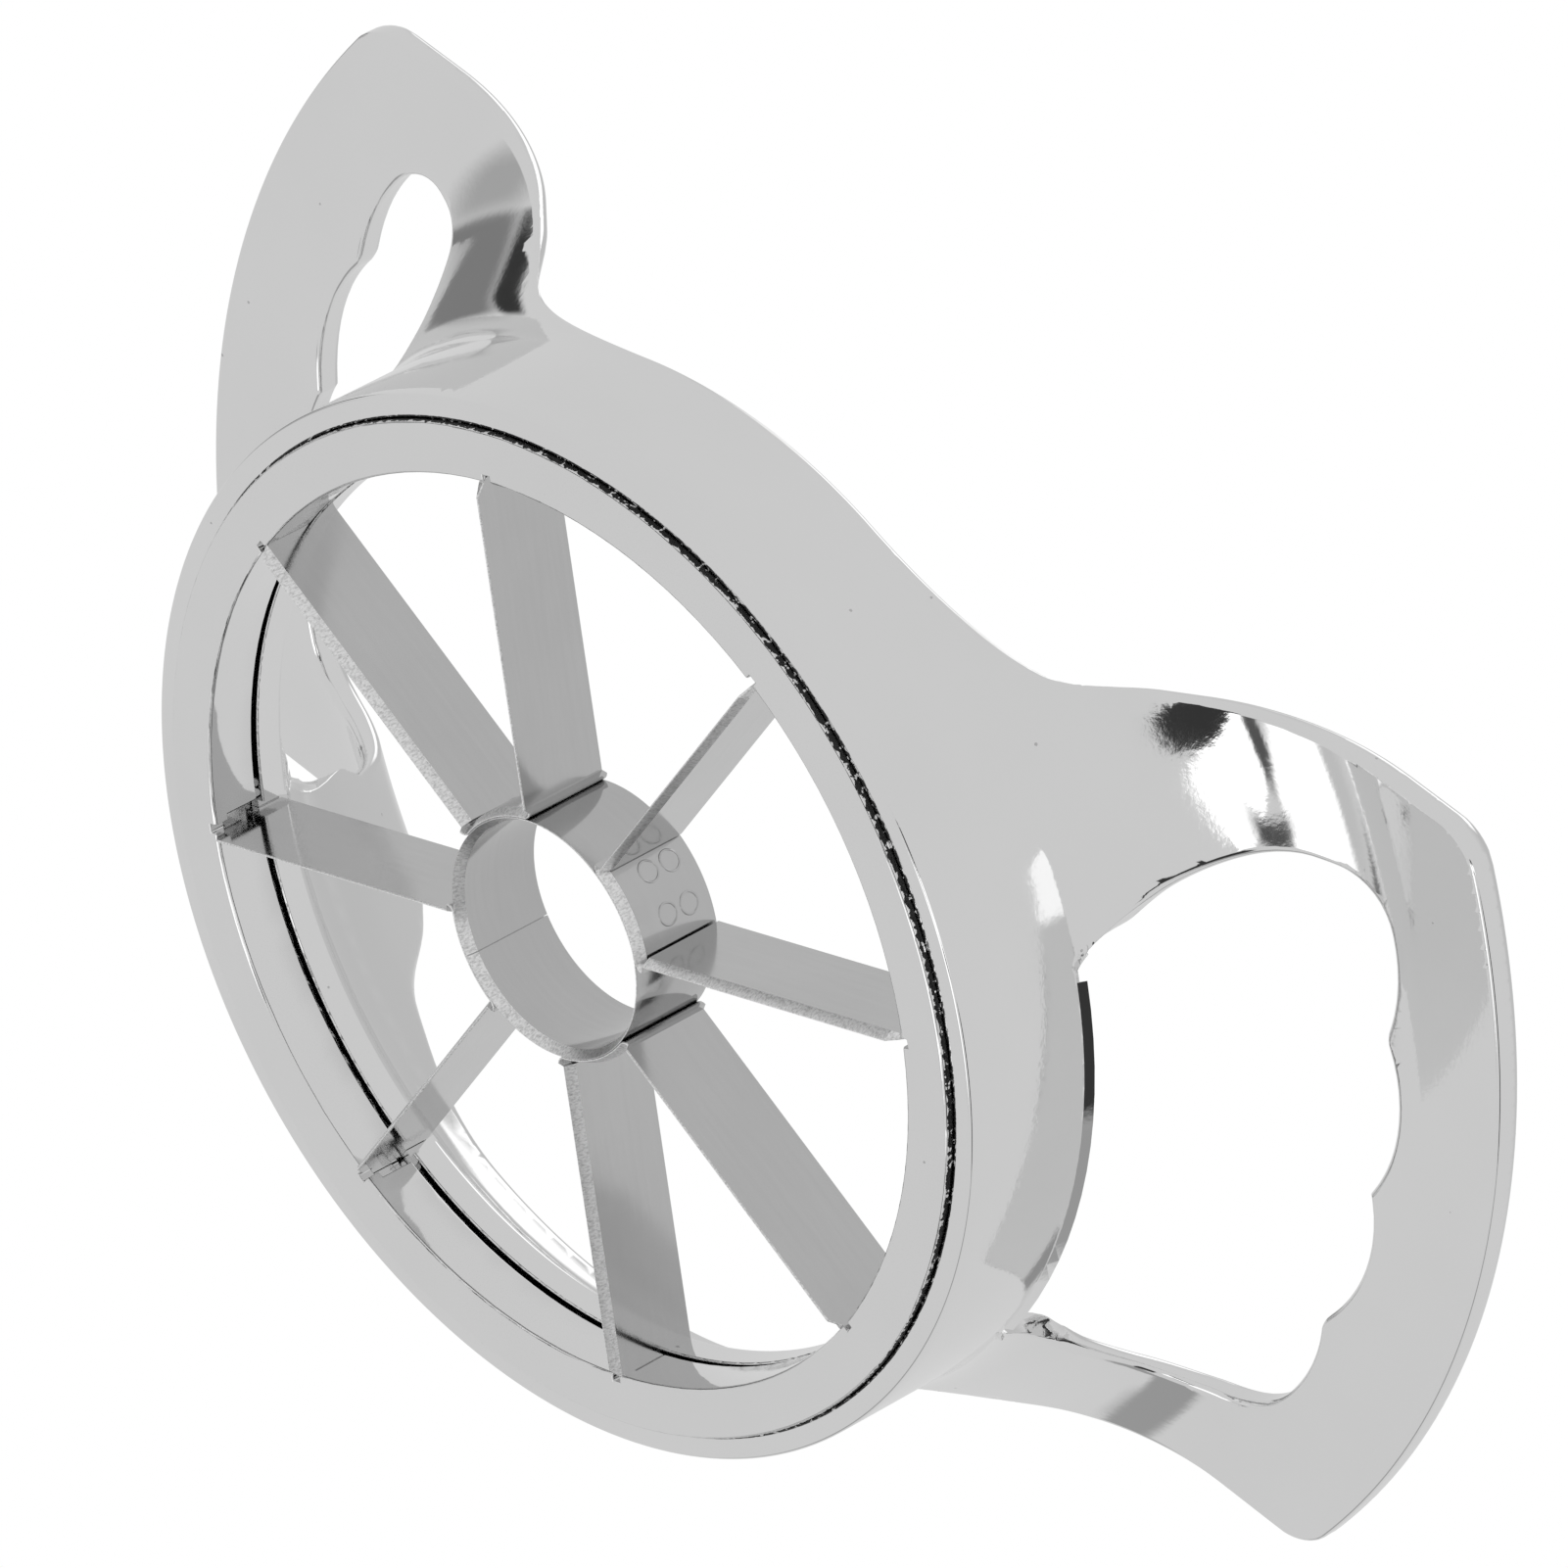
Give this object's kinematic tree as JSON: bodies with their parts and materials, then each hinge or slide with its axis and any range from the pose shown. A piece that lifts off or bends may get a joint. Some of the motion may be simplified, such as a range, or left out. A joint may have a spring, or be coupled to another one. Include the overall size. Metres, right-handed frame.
{
  "type": "apple slicer",
  "caption": "Hand-held apple slicer: cast ring with radial blades round a coring tube, pushed down by two raised finger-loop handles.",
  "frame": {"origin": "on the ring's axis, in the plane of the cutting edges, which is the lowest plane of the object", "axes": "+Z from the cutting edges up to the handles, X through both handles, Y across them"},
  "size_m": [0.177, 0.112, 0.044],
  "materials": {
    "cast_chrome": "bright chrome on a smooth die casting",
    "ring_chrome": "bright chrome, turned face",
    "blade_steel": "smooth rolled stainless strip with gritty ground bevels",
    "core_steel": "smooth rolled stainless strip, ground front edge"
  },
  "bodies": {
    "root": {"body": "cast_chrome", "retaining_ring": "ring_chrome", "core_tube": "core_steel", "blade_strip_1": "blade_steel", "blade_strip_2": "blade_steel", "blade_strip_3": "blade_steel", "blade_strip_4": "blade_steel"}
  },
  "joints": []
}
